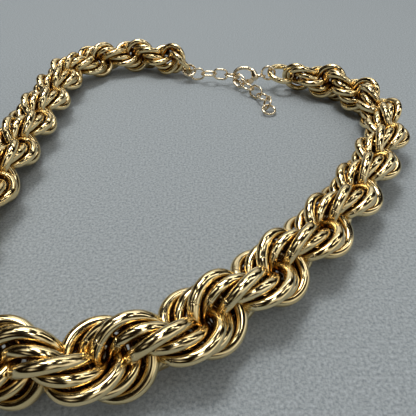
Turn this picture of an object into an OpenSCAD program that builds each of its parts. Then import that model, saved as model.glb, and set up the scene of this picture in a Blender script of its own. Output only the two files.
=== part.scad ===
// Twisted rope necklace, lying in a loop on a table with its clasp fastened.
// The rope is one long row of interlocked open rings. Each ring stands almost along the rope
// and is turned a little less than half a turn from the one before, so the row twists.

/* [Rope] */
// Wire thickness of the rings at the clasp ends
wire_end = 2.2; // [2.15:0.01:2.25]
// Wire thickness of the rings at the front
wire_front = 2.6; // [2.5:0.02:2.7]
// Radius of a ring's centre line, in wire thicknesses
ring_ratio = 2.45; // [2.44:0.01:2.46]
// Advance from one ring to the next, in wire thicknesses
advance = 1.05; // [1.04:0.01:1.06]
// How far each ring falls short of a half turn from the one before, in degrees
twist_short = 24.7; // [24.5:0.1:24.9]
// Angle between a ring's normal and the rope's axis
steepness = 82.3; // [82:0.1:82.5]
// Offset of a ring's centre from the rope's axis, in wire thicknesses
offset = 0.28; // [0.27:0.01:0.29]
// Opening of a ring along its centre line, in wire thicknesses
opening = 3.6; // [3.5:0.1:3.8]
// Turn of the opening from the rope's direction
opening_turn = 5; // [4:1:6]
// Turn of the first ring about the rope's axis
first_turn = 10; // [9:0.5:11]
// Extra distance of the first ring, which leaves room for the jump ring
first_pull = 4; // [3.8:0.1:4.2]
// Extra turn of the first ring, which lies almost flat
first_extra = 70; // [60:1:75]
// Extra distance of the last ring
last_pull = 2; // [1.8:0.1:2.2]
// Extra turn of the last ring
last_extra = -20; // [-25:1:-15]

/* [Extender and clasp] */
// Wire thickness of the small links
link_wire = 0.85; // [0.8:0.01:0.9]
// Length of a small link outside
link_len = 7.15; // [7.1:0.05:7.2]
// Width of a small link outside
link_wid = 5.2; // [5.0:0.1:5.4]
// Play between two small links
link_play = 0.2; // [0.15:0.05:0.25]
// Wire thickness of the jump rings
jump_wire = 0.95; // [0.9:0.05:1.0]
// Outer diameter of the jump rings
jump_od = 6.4; // [6.2:0.1:6.5]
// Outer diameter of the ring at the tail's end
tail_ring_od = 5.8; // [5.4:0.1:6]
// Thickness of the clasp's lever
lever_thick = 1.1; // [1:0.05:1.2]
// Gap between the lever's eye and the clasp's cheeks
lever_gap = 0.12; // [0.1:0.01:0.15]

/* [Hidden] */
gold = "gold";
pale_gold = "khaki";

// Centre line of the rope on the table, as arcs: [length, turn to the left in degrees]
ROUTE = [
  [21, -35],
  [42.5, -66],
  [94.5, -28],
  [36, -44],
  [42, -82],
  [97.5, -1.5],
  [60, -122],
  [12, -24]
];
route_start = [35.4, 171];
route_heading = -14.6;
// Distance along the rope of the front, where the wire is thickest
front_at = 170;
// Bare stretch of the route past the last ring
route_spare = 7;
// Jump rings: [reach past the end ring's centre, shift beside the route, height of centre, roll]
JUMP_RIGHT = [5.9, 0.1, 7.4, 85];
JUMP_LEFT = [5.89, -0.1, 5.1, -21];
// Slope of the jump rings down from the rope
jump_drop = 30;

// Links from the left jump ring to the clasp: [heading, rise in mm, roll from flat]
EXTENDER = [
  [-15, 1.3, 79],
  [-12, 0.2, 0],
  [-12, 0.1, -90],
  [-21, -0.4, -11]
];
// Links of the free tail, from the extender's last link
TAIL = [
  [-53, -1.35, 61],
  [-48, -0.6, -8],
  [-52, -0.35, 62],
  [-66, -0.1, -8],
  [-88, -0.2, 62]
];
tail_ring_rise = -18;
// Where the extender's first link starts, from the left jump ring's outermost point
extender_from = [-0.38, 0.81, -0.48];
// Where the tail's first link starts, from the place where the hook holds the last link
tail_from = [-1.17, -0.94, 0.48];

// The clasp has its own plane: U runs from its hook to its loop, V away from the lever
clasp_heading = -16;
clasp_rise = 5;
clasp_roll = 65;
loop_u = 6.6;
loop_od = 3.1;
loop_wire = 0.7;
// Turn of the loop about the clasp's length
loop_turn = -75;
// Start of the neck between the hook and the loop
neck_u = 4.5;
// Spine of the clasp's fat body, from the pin to the hook: [u, v, radius]
BODY = [
  [3.4, -0.5, 1.6],
  [2.5, 1.8, 1.0],
  [1.2, 2.56, 0.65]
];
// Arcs of the hook's wire, which run into each other: [radius, start and end direction]
HOOK = [
  [2.82, 115, 266],
  [6.5, 53, 115]
];
// Middle of the first arc, u and v
hook_at = [-3.0, -0.05];
hook_wire = 1.5;
// Spine of the lever from its eye to its tip: [u, v, radius]
LEVER = [
  [3.3, -0.9, 0.85],
  [1.6, -2.4, 1.15],
  [-0.8, -2.6, 0.95],
  [-2.35, -1.75, 0.42]
];
// Thumb tab on the lever's back: [u, v, radius]
TAB = [
  [2.2, -2.0, 0.7],
  [1.2, -3.9, 0.5]
];
pin_d = 0.7;
// Running gap between the pin and the lever's eye
pin_gap = 0.04;
// Moves the box's middle to the origin
shift = [-0.03, -115.25];
FINE = 40;
WIRE_FN = 24;

function total(rows, i = 0) = i == len(rows) ? 0 : rows[i][0] + total(rows, i + 1);
rope_len = total(ROUTE);

// Place and heading at a distance along an arc that starts at p with heading h
function along(p, h, len, turn, d) =
  let (r = len / (turn * PI / 180), t = turn * d / len)
  [p.x + r * (sin(h + t) - sin(h)), p.y + r * (cos(h) - cos(h + t)), h + t];

// Place and heading at a distance along the whole route: [x, y, heading]
function route(s, i = 0, p = route_start, h = route_heading) =
  s <= ROUTE[i][0] || i == len(ROUTE) - 1
    ? along(p, h, ROUTE[i][0], ROUTE[i][1], s)
    : let (q = along(p, h, ROUTE[i][0], ROUTE[i][1], ROUTE[i][0]))
      route(s - ROUTE[i][0], i + 1, q, q[2]);

// How near to the front a distance is: 0 at the ends, 1 at the front
function nearness(s) = s < front_at
  ? cos(90 * (front_at - s) / front_at)
  : cos(90 * (s - front_at) / (rope_len - front_at));
function wire_at(s) = wire_end + (wire_front - wire_end) * nearness(s);

// Distances of all the rings along the rope
function stations(s = 0) = s > rope_len - route_spare
  ? []
  : concat([s], stations(s + advance * wire_at(s)));
STATIONS = stations();
last_ring = len(STATIONS) - 1;
front_ring = search(1, [for (s = STATIONS) s > front_at ? 1 : 0])[0];

// A wire bent round part of a circle, opened by gap degrees on the +X side
module open_ring(radius, wire, gap) {
  rotate([0, 0, gap / 2])
    rotate_extrude(angle = 360 - gap, $fn = FINE)
      translate([radius, 0]) circle(d = wire, $fn = WIRE_FN);
}

module closed_ring(od, wire) {
  rotate_extrude($fn = FINE) translate([(od - wire) / 2, 0]) circle(d = wire, $fn = WIRE_FN);
}

// Ring number k of the rope, standing on the table
module rope_ring(k) {
  w = wire_at(STATIONS[k]);
  radius = ring_ratio * w;
  s = STATIONS[k] + (k == 0 ? -first_pull : k == last_ring ? last_pull : 0);
  extra = k == 0 ? first_extra : k == last_ring ? last_extra : 0;
  turn = first_turn + extra + k * (180 - twist_short);
  gap = k == last_ring ? 0 : opening * w / radius * 180 / PI;
  at = route(s);
  translate([at.x + shift.x, at.y + shift.y, radius + w * (0.5 + offset)])
    rotate([0, 0, at[2]])
      rotate([-turn, 0, 0])
        translate([0, 0, offset * w])
          rotate([0, 0, 90 - steepness])
            rotate([-90, 0, 0])
              rotate([0, 0, opening_turn])
                open_ring(radius, w, gap);
}

module rope_right() {
  color(gold) for (k = [0 : front_ring - 1]) rope_ring(k);
}

module rope_left() {
  color(gold) for (k = [front_ring : last_ring]) rope_ring(k);
}

// Direction of a heading and a rise, both in degrees
function aim(heading, rise) = [cos(heading) * cos(rise), sin(heading) * cos(rise), sin(rise)];

// Direction to the left of a heading and a rise, rolled up from flat
function rolled(heading, rise, roll) =
  [-sin(heading), cos(heading), 0] * cos(roll)
  + [-cos(heading) * sin(rise), -sin(heading) * sin(rise), cos(rise)] * sin(roll);

module set_at(p, heading, rise, roll) {
  translate([p.x + shift.x, p.y + shift.y, p.z])
    rotate([0, 0, heading]) rotate([0, -rise, 0]) rotate([roll, 0, 0]) children();
}

// A jump ring hangs in each end ring of the rope. out is 1 past the last ring, -1 before the first.
end_right = route(STATIONS[0] - first_pull);
end_left = route(STATIONS[last_ring] + last_pull);
function jump_centre(end, row, out) =
  [end.x, end.y, row[2]] + (aim(end[2], 0) * row[0] - aim(end[2] + 90, 0) * row[1]) * out;
// The outermost point of a jump ring's centre line, which holds the next piece
function jump_hold(end, row, out) =
  jump_centre(end, row, out) + aim(end[2], -out * jump_drop) * out * (jump_od - jump_wire) / 2;

module jump_ring(end, row, out) {
  color(pale_gold) set_at(jump_centre(end, row, out), end[2], -out * jump_drop, -out * row[3])
    closed_ring(jump_od, jump_wire);
}

// Small links, each a step on from the one before
pitch = link_len - 2 * link_wire - link_play;
function step(row) = pitch * aim(row[0], asin(row[1] / pitch));
function walk(p, rows, i = 0) = i == len(rows)
  ? [p]
  : concat([p], walk(p + step(rows[i]), rows, i + 1));

module oval_link(p, row) {
  straight = (link_len - link_wid) / 2;
  bend = (link_wid - link_wire) / 2;
  color(pale_gold) set_at(p + step(row) / 2, row[0], asin(row[1] / pitch), row[2]) {
    for (end = [0, 180])
      rotate([0, 0, end]) translate([straight, 0, 0]) rotate([0, 0, -90])
        rotate_extrude(angle = 180, $fn = FINE) translate([bend, 0]) circle(d = link_wire, $fn = 16);
    for (side = [-1, 1])
      translate([-straight, side * bend, 0]) rotate([0, 90, 0])
        cylinder(d = link_wire, h = 2 * straight, $fn = 16);
  }
}

hold_left = jump_hold(end_left, JUMP_LEFT, 1);
hold_right = jump_hold(end_right, JUMP_RIGHT, -1);
clasp_at = hold_right - loop_u * aim(clasp_heading, clasp_rise);
function in_clasp(q) = clasp_at + q.x * aim(clasp_heading, clasp_rise)
  + q.y * rolled(clasp_heading, clasp_rise, clasp_roll);
EXTENDER_AT = walk(hold_left + extender_from, EXTENDER);
TAIL_AT = walk(EXTENDER_AT[4] + tail_from, TAIL);
TAIL_END = TAIL[len(TAIL) - 1];
tail_ring_at = TAIL_AT[len(TAIL)]
  + aim(TAIL_END[0], tail_ring_rise) * (tail_ring_od / 2 - link_wire - link_play / 2);

module clasp_frame() {
  set_at(clasp_at, clasp_heading, clasp_rise, clasp_roll) children();
}

// Rounded bar through a spine's points
module bar(spine) {
  for (i = [0 : len(spine) - 2])
    hull()
      for (row = [spine[i], spine[i + 1]])
        translate([row[0], row[1], 0]) sphere(r = row[2], $fn = 28);
}

module pin_hole(d) {
  translate([LEVER[0].x, LEVER[0].y, -3]) cylinder(d = d, h = 6, $fn = 32);
}

// Room for the lever's eye and its swing between the two cheeks
module lever_room() {
  wide = lever_thick + 2 * lever_gap;
  translate([LEVER[0].x, LEVER[0].y, -wide / 2]) {
    cylinder(r = LEVER[0][2] + 0.35, h = wide, $fn = 32);
    translate([-6, -3, 0]) cube([6, 3, wide]);
    translate([-2.5, 0, 0]) cube([2.5, 0.9, wide]);
  }
}

module clasp_body() {
  color(pale_gold) clasp_frame() {
    difference() {
      bar(BODY);
      lever_room();
      pin_hole(pin_d + 0.04);
    }
    for (row = HOOK) {
      middle = hook_at + (HOOK[0][0] - row[0]) * [cos(HOOK[0][1]), sin(HOOK[0][1])];
      translate([middle.x, middle.y, 0]) rotate([0, 0, row[1]])
        rotate_extrude(angle = row[2] - row[1], $fn = 4 * FINE)
          translate([row[0], 0]) circle(d = hook_wire, $fn = WIRE_FN);
    }
    // Beads at the join of the two arcs, and as the hook's rounded tip
    for (turn = [HOOK[0][1], HOOK[0][2]])
      translate([hook_at.x + HOOK[0][0] * cos(turn), hook_at.y + HOOK[0][0] * sin(turn), 0])
        sphere(d = hook_wire + 0.02, $fn = WIRE_FN);
    translate([loop_u, 0, 0]) rotate([loop_turn, 0, 0]) closed_ring(loop_od, loop_wire);
    translate([neck_u, 0, 0]) rotate([0, 90, 0])
      cylinder(d = 1.3, h = loop_u - loop_od / 2 + loop_wire * 0.6 - neck_u, $fn = 24);
  }
}

module clasp_pin() {
  color(pale_gold) clasp_frame()
    translate([LEVER[0].x, LEVER[0].y, -BODY[0][2] + 0.1])
      cylinder(d = pin_d, h = 2 * BODY[0][2] - 0.2, $fn = 32);
}

module clasp_lever() {
  color(pale_gold) clasp_frame() difference() {
    intersection() {
      union() {
        bar(LEVER);
        bar(TAB);
      }
      translate([-10, -10, -lever_thick / 2]) cube([20, 20, lever_thick]);
    }
    pin_hole(pin_d + 2 * pin_gap);
  }
}

rope_right();
rope_left();
jump_ring(end_right, JUMP_RIGHT, -1);  // jump_right
jump_ring(end_left, JUMP_LEFT, 1);  // jump_left
oval_link(EXTENDER_AT[0], EXTENDER[0]);  // extender_1
oval_link(EXTENDER_AT[1], EXTENDER[1]);  // extender_2
oval_link(EXTENDER_AT[2], EXTENDER[2]);  // extender_3
oval_link(EXTENDER_AT[3], EXTENDER[3]);  // extender_4
oval_link(TAIL_AT[0], TAIL[0]);  // tail_1
oval_link(TAIL_AT[1], TAIL[1]);  // tail_2
oval_link(TAIL_AT[2], TAIL[2]);  // tail_3
oval_link(TAIL_AT[3], TAIL[3]);  // tail_4
oval_link(TAIL_AT[4], TAIL[4]);  // tail_5
color(pale_gold) set_at(tail_ring_at, TAIL_END[0], tail_ring_rise, -5) closed_ring(tail_ring_od, link_wire);  // tail_ring
clasp_body();
clasp_pin();
clasp_lever();
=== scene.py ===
import math
import bpy
from mathutils import Matrix, Vector


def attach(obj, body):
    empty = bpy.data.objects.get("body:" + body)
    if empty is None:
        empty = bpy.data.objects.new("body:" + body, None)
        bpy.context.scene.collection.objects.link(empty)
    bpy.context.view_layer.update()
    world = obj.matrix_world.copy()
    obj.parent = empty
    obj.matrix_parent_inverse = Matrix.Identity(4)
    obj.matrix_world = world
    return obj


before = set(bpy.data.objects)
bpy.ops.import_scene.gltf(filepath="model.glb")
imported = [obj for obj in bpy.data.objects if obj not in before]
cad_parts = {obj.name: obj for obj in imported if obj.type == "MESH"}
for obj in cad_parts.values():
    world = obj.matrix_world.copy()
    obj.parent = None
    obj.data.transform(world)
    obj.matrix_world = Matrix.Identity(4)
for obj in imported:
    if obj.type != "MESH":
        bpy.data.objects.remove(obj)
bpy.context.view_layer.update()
scene = bpy.context.scene
scene.view_settings.view_transform = "Standard"

ROPE_NODES = ("rope_right", "rope_left")

# Camera: close above the front of the necklace, looking down towards the clasp
CAMERA_PLACE = (-0.00003, -0.11525, 0.0785)
CAMERA_PITCH = 40.3
CAMERA_LENS = 36.09
SENSOR_WIDTH = 36
CLIP_NEAR = 0.005
CLIP_FAR = 20

camera_data = bpy.data.cameras.new("photo_camera")
camera_data.lens = CAMERA_LENS
camera_data.sensor_width = SENSOR_WIDTH
camera_data.clip_start = CLIP_NEAR
camera_data.clip_end = CLIP_FAR
camera = bpy.data.objects.new("photo_camera", camera_data)
camera.location = CAMERA_PLACE
camera.rotation_euler = (math.radians(90 - CAMERA_PITCH), 0, 0)
scene.collection.objects.link(camera)
scene.camera = camera

# Rope: the same values and formulas as the solids have, in millimetres and degrees
MM = 0.001
# Wire thickness at the clasp ends and at the front, and the front's distance along the rope
WIRE_END = 2.2
WIRE_FRONT = 2.6
FRONT_AT = 170
# In wire thicknesses: radius of a ring's centre line, its offset, its advance and its opening
RING_RATIO = 2.45
OFFSET = 0.28
ADVANCE = 1.05
OPENING = 3.6
# Turn of the opening from the rope's direction
OPENING_TURN = 5
# Angle between a ring's normal and the rope's axis
STEEPNESS = 82.3
# How far each ring falls short of a half turn from the one before
TWIST_SHORT = 24.7
# Turn of the first ring, its extra turn, and its extra distance from the second ring
FIRST_TURN = 10
FIRST_EXTRA = 70
FIRST_PULL = 4
# Centre line of the rope, as arcs of a length and a turn to the left
ROUTE = [
    (21, -35),
    (42.5, -66),
    (94.5, -28),
    (36, -44),
    (42, -82),
    (97.5, -1.5),
    (60, -122),
    (12, -24),
]
# Its start and first heading, the length left free at its end, and the shift to the frame's origin
ROUTE_START = (35.4, 171)
ROUTE_HEADING = -14.6
ROUTE_SPARE = 7
SHIFT = (-0.03, -115.25)
ROPE_LENGTH = sum(length for length, turn in ROUTE)

# Ring closings: a little thinner than the wire, with ends that reach into the solid ring
CLOSING_SIDES = 24
CLOSING_STEPS = 14
CLOSING_LAP = 3
CLOSING_SCALE = 0.997


def route(distance):
    """Place and heading at a distance along the rope."""
    x, y = ROUTE_START
    heading = ROUTE_HEADING
    for length, turn in ROUTE:
        radius = length / math.radians(turn)
        part = min(distance, length)
        after = heading + turn * part / length
        x += radius * (math.sin(math.radians(after)) - math.sin(math.radians(heading)))
        y += radius * (math.cos(math.radians(heading)) - math.cos(math.radians(after)))
        heading = after
        distance -= part
        if distance <= 0:
            break
    return x + SHIFT[0], y + SHIFT[1], heading


def wire_at(distance):
    """Wire thickness at a distance along the rope."""
    span = FRONT_AT if distance < FRONT_AT else ROPE_LENGTH - FRONT_AT
    fraction = abs(distance - FRONT_AT) / span
    return WIRE_END + (WIRE_FRONT - WIRE_END) * math.cos(math.pi / 2 * fraction)


def ring_stations():
    """Distance of each ring along the rope."""
    stations = [0.0]
    while stations[-1] + ADVANCE * wire_at(stations[-1]) <= ROPE_LENGTH - ROUTE_SPARE:
        stations.append(stations[-1] + ADVANCE * wire_at(stations[-1]))
    return stations


def ring_frame(number, distance):
    """Matrix of a ring, its wire thickness, its centre line's radius and its opening in degrees."""
    wire = wire_at(distance)
    radius = RING_RATIO * wire
    first = number == 0
    x, y, heading = route(distance - (FIRST_PULL if first else 0))
    turn = FIRST_TURN + (FIRST_EXTRA if first else 0) + number * (180 - TWIST_SHORT)
    gap = math.degrees(OPENING * wire / radius)
    matrix = (
        Matrix.Translation((x, y, radius + wire * (0.5 + OFFSET)))
        @ Matrix.Rotation(math.radians(heading), 4, "Z")
        @ Matrix.Rotation(math.radians(-turn), 4, "X")
        @ Matrix.Translation((0, 0, OFFSET * wire))
        @ Matrix.Rotation(math.radians(90 - STEEPNESS), 4, "Z")
        @ Matrix.Rotation(math.radians(-90), 4, "X")
        @ Matrix.Rotation(math.radians(OPENING_TURN), 4, "Z")
    )
    return matrix, wire, radius, gap


def add_closing(number, distance, points, faces):
    """Add the closing of one ring: a bent tube with a flat face at each end."""
    matrix, wire, radius, gap = ring_frame(number, distance)
    tube = wire / 2 * CLOSING_SCALE
    half = math.radians(gap / 2 + CLOSING_LAP)
    start = len(points)
    end = start + CLOSING_STEPS * CLOSING_SIDES
    for step in range(CLOSING_STEPS + 1):
        angle = half * (2 * step / CLOSING_STEPS - 1)
        for side in range(CLOSING_SIDES):
            around = 2 * math.pi * side / CLOSING_SIDES
            out = radius + tube * math.cos(around)
            spot = Vector((out * math.cos(angle), out * math.sin(angle), tube * math.sin(around)))
            points.append(matrix @ spot * MM)
    for row in range(start, end, CLOSING_SIDES):
        for side in range(CLOSING_SIDES):
            here = row + side
            beside = row + (side + 1) % CLOSING_SIDES
            faces.append((here, here + CLOSING_SIDES, beside + CLOSING_SIDES, beside))
    faces.append(tuple(start + side for side in range(CLOSING_SIDES)))
    faces.append(tuple(end + side for side in reversed(range(CLOSING_SIDES))))


def new_object(name, points, faces, material):
    """A mesh object in the scene."""
    mesh = bpy.data.meshes.new(name)
    mesh.from_pydata(points, [], faces)
    mesh.update()
    mesh.materials.append(material)
    thing = bpy.data.objects.new(name, mesh)
    scene.collection.objects.link(thing)
    return thing


class NodeTree:
    """Short calls for a node tree of a material or the world."""

    # Sockets of a node that mixes two colours
    MIX_FIRST = 6
    MIX_SECOND = 7
    MIX_RESULT = 2
    # The part of a noise's values that is spread over a range or a ramp
    NOISE_LOW = 0.3
    NOISE_HIGH = 0.7

    def __init__(self, tree, coordinates):
        self.tree = tree
        self.place = self.add("ShaderNodeTexCoord").outputs[coordinates]

    def add(self, kind, **values):
        node = self.tree.nodes.new(kind)
        for key, value in values.items():
            setattr(node, key, value)
        return node

    def link(self, source, target):
        self.tree.links.new(source, target)

    def noise(self, scale, detail, roughness=0.5, place=None):
        node = self.add("ShaderNodeTexNoise")
        node.inputs["Scale"].default_value = scale
        node.inputs["Detail"].default_value = detail
        node.inputs["Roughness"].default_value = roughness
        self.link(place or self.place, node.inputs["Vector"])
        return node.outputs["Fac"]

    def ramp(self, fac, stops):
        node = self.add("ShaderNodeValToRGB")
        elements = node.color_ramp.elements
        while len(elements) < len(stops):
            elements.new(0.5)
        for element, (position, colour) in zip(elements, stops):
            element.position = position
            element.color = (*colour, 1)
        self.link(fac, node.inputs["Fac"])
        return node.outputs["Color"]

    def two_tone(self, noise, dark, light):
        return self.ramp(noise, [(self.NOISE_LOW, dark), (self.NOISE_HIGH, light)])

    def span(self, noise, low, high):
        node = self.add("ShaderNodeMapRange")
        node.inputs["From Min"].default_value = self.NOISE_LOW
        node.inputs["From Max"].default_value = self.NOISE_HIGH
        node.inputs["To Min"].default_value = low
        node.inputs["To Max"].default_value = high
        self.link(noise, node.inputs["Value"])
        return node.outputs["Result"]

    def stretched(self, scale):
        node = self.add("ShaderNodeMapping")
        node.inputs["Scale"].default_value = scale
        self.link(self.place, node.inputs["Vector"])
        return node.outputs["Vector"]

    def bump(self, height, distance, strength=1.0, under=None):
        node = self.add("ShaderNodeBump")
        node.inputs["Distance"].default_value = distance
        node.inputs["Strength"].default_value = strength
        self.link(height, node.inputs["Height"])
        if under:
            self.link(under, node.inputs["Normal"])
        return node.outputs["Normal"]

    def mix(self, blend, first, second):
        """Node that mixes two colours. Its Factor is left to the caller."""
        node = self.add("ShaderNodeMix", data_type="RGBA", blend_type=blend)
        self.link(first, node.inputs[self.MIX_FIRST])
        self.link(second, node.inputs[self.MIX_SECOND])
        return node


def new_material(name):
    """A new material, the calls for its node tree, and its shader's sockets."""
    material = bpy.data.materials.new(name)
    material.use_nodes = True
    calls = NodeTree(material.node_tree, "Object")
    return material, calls, material.node_tree.nodes["Principled BSDF"].inputs


# Gold: noise scales for each metre, and depths in metres
TONE_SCALE = 60
HAZE_SCALE = 420
WAVE_SCALE = 170
SCRATCH_SCALE = 1400
SCRATCH_STRETCH = (1, 6, 3)
SCRATCH_DEPTH = 0.0000015
SCRATCH_STRENGTH = 0.5
# Painted shade: ambient occlusion within this reach darkens the base colour in the crevices between the
# rings, from dark brown through a warm mid tone to none
PAINTED_SHADE_REACH = 0.0035
PAINTED_SHADE_SAMPLES = 8
PAINTED_SHADE_STOPS = [
    (0.05, (0.26, 0.16, 0.07)),
    (0.50, (0.72, 0.61, 0.43)),
    (0.85, (1.00, 1.00, 1.00)),
]


def gold(name, dark, light, roughness, wave_depth):
    """Polished gold plating with painted shade that darkens its crevices, with slow waves, polishing haze
    and fine scratches.
    """
    material, calls, shader = new_material(name)
    shader["Metallic"].default_value = 1.0

    tone = calls.two_tone(calls.noise(TONE_SCALE, detail=3), dark, light)
    # Painted shade: where ambient occlusion finds crevices, the base colour is multiplied by the dark
    # ramp
    shade = calls.add("ShaderNodeAmbientOcclusion", samples=PAINTED_SHADE_SAMPLES)
    shade.inputs["Distance"].default_value = PAINTED_SHADE_REACH
    colour = calls.mix("MULTIPLY", tone, calls.ramp(shade.outputs["AO"], PAINTED_SHADE_STOPS))
    colour.inputs["Factor"].default_value = 1.0
    calls.link(colour.outputs[calls.MIX_RESULT], shader["Base Color"])

    haze = calls.noise(HAZE_SCALE, detail=4, roughness=0.6)
    calls.link(calls.span(haze, *roughness), shader["Roughness"])

    wave = calls.bump(calls.noise(WAVE_SCALE, detail=1), wave_depth)
    along = calls.stretched(SCRATCH_STRETCH)
    scratches = calls.noise(SCRATCH_SCALE, detail=3, roughness=0.6, place=along)
    surface = calls.bump(scratches, SCRATCH_DEPTH, SCRATCH_STRENGTH, wave)
    calls.link(surface, shader["Normal"])
    return material


rope_gold = gold(
    "rope_gold",
    dark=(0.80, 0.62, 0.31),
    light=(0.89, 0.74, 0.43),
    roughness=(0.09, 0.17),
    wave_depth=0.00004,
)
fittings_gold = gold(
    "fittings_gold",
    dark=(0.88, 0.74, 0.49),
    light=(0.95, 0.83, 0.61),
    roughness=(0.10, 0.20),
    wave_depth=0.00002,
)

for name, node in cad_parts.items():
    material = rope_gold if name in ROPE_NODES else fittings_gold
    if not node.material_slots:
        node.data.materials.append(material)
    for slot in node.material_slots:
        slot.material = material

# Closings: the soldered part of each ring. The last ring is closed already
closing_points = []
closing_faces = []
for number, distance in enumerate(ring_stations()[:-1]):
    add_closing(number, distance, closing_points, closing_faces)
closings = new_object("ring_closings", closing_points, closing_faces, rope_gold)
for face in closings.data.polygons:
    face.use_smooth = len(face.vertices) == 4
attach(closings, "necklace")

# Floor: plain and pale, with short fibres
FLOOR_HALF = 1.2
FLOOR_ROUGHNESS = 0.9
FLOOR_GLOSS = 0.1
FIBRE_SCALE = 1500
FIBRE_DEPTH = 0.0002
FIBRE_STRENGTH = 0.6
FIBRE_DARK = (0.23, 0.26, 0.275)
FIBRE_LIGHT = (0.54, 0.585, 0.605)

pale_floor, calls, shader = new_material("pale_floor")
shader["Roughness"].default_value = FLOOR_ROUGHNESS
shader["Specular IOR Level"].default_value = FLOOR_GLOSS
fibres = calls.noise(FIBRE_SCALE, detail=4, roughness=0.7)
calls.link(calls.two_tone(fibres, FIBRE_DARK, FIBRE_LIGHT), shader["Base Color"])
calls.link(calls.bump(fibres, FIBRE_DEPTH, FIBRE_STRENGTH), shader["Normal"])
corners = [(x * FLOOR_HALF, y * FLOOR_HALF, 0) for x, y in ((-1, -1), (1, -1), (1, 1), (-1, 1))]
new_object("floor", corners, [(0, 1, 2, 3)], pale_floor)

# World: a dim warm room with softly lit patches, which the polished gold mirrors
PATCH_SCALE = 1.6
PATCH_DETAIL = 1.0
PATCH_STOPS = [
    (0.44, (0.005, 0.003, 0.001)),
    (0.51, (0.030, 0.022, 0.012)),
    (0.58, (0.300, 0.285, 0.260)),
    (0.68, (0.900, 0.900, 0.900)),
]
# Plain backdrop behind the floor, from the horizon upwards, in place of the room
BACKDROP_STOPS = [
    (0.00, (0.115, 0.122, 0.127)),
    (0.22, (0.400, 0.420, 0.430)),
]

world = bpy.data.worlds.new("studio")
world.use_nodes = True
scene.world = world
sky = NodeTree(world.node_tree, "Generated")
room = sky.ramp(sky.noise(PATCH_SCALE, PATCH_DETAIL), PATCH_STOPS)
direction = sky.add("ShaderNodeSeparateXYZ")
sky.link(sky.place, direction.inputs["Vector"])
backdrop = sky.ramp(direction.outputs["Z"], BACKDROP_STOPS)
rays = sky.add("ShaderNodeLightPath")
seen = sky.mix("MIX", room, backdrop)
sky.link(rays.outputs["Is Camera Ray"], seen.inputs["Factor"])
background = world.node_tree.nodes["Background"]
sky.link(seen.outputs[sky.MIX_RESULT], background.inputs["Color"])

# Lamps: name, place, width, height and watts, all turned to the middle of the necklace
MIDDLE = (0, 0, 0)
LAMPS = [
    ("key", (-0.14, 0.17, 0.72), 0.30, 0.20, 2.3),
    ("strip_back", (0.05, 0.50, 0.60), 0.70, 0.08, 0.7),
    ("strip_right", (0.50, 0.00, 0.50), 0.08, 0.45, 0.3),
    ("lamp_front", (0.10, -0.40, 0.60), 0.12, 0.12, 0.35),
]
# Ceiling lamps: two rows of three, turned straight down
CEILING_ROWS = 2
CEILING_COLUMNS = 3
CEILING_START = (-0.45, -0.15)
CEILING_PITCH = 0.45
CEILING_HEIGHT = 0.90
CEILING_SIZE = 0.12
CEILING_WATTS = 0.25


def soft_light(name, place, aim, width, height, watts):
    """A rectangular lamp that is turned to a point."""
    data = bpy.data.lights.new(name, "AREA")
    data.shape = "RECTANGLE"
    data.size = width
    data.size_y = height
    data.energy = watts
    light = bpy.data.objects.new(name, data)
    light.location = place
    light.rotation_mode = "QUATERNION"
    light.rotation_quaternion = (Vector(aim) - Vector(place)).to_track_quat("-Z", "Y")
    scene.collection.objects.link(light)


for name, place, width, height, watts in LAMPS:
    soft_light(name, place, MIDDLE, width, height, watts)
for row in range(CEILING_ROWS):
    for column in range(CEILING_COLUMNS):
        x = CEILING_START[0] + CEILING_PITCH * column
        y = CEILING_START[1] + CEILING_PITCH * row
        place = (x, y, CEILING_HEIGHT)
        soft_light(f"ceiling_{row}_{column}", place, (x, y, 0), CEILING_SIZE, CEILING_SIZE, CEILING_WATTS)
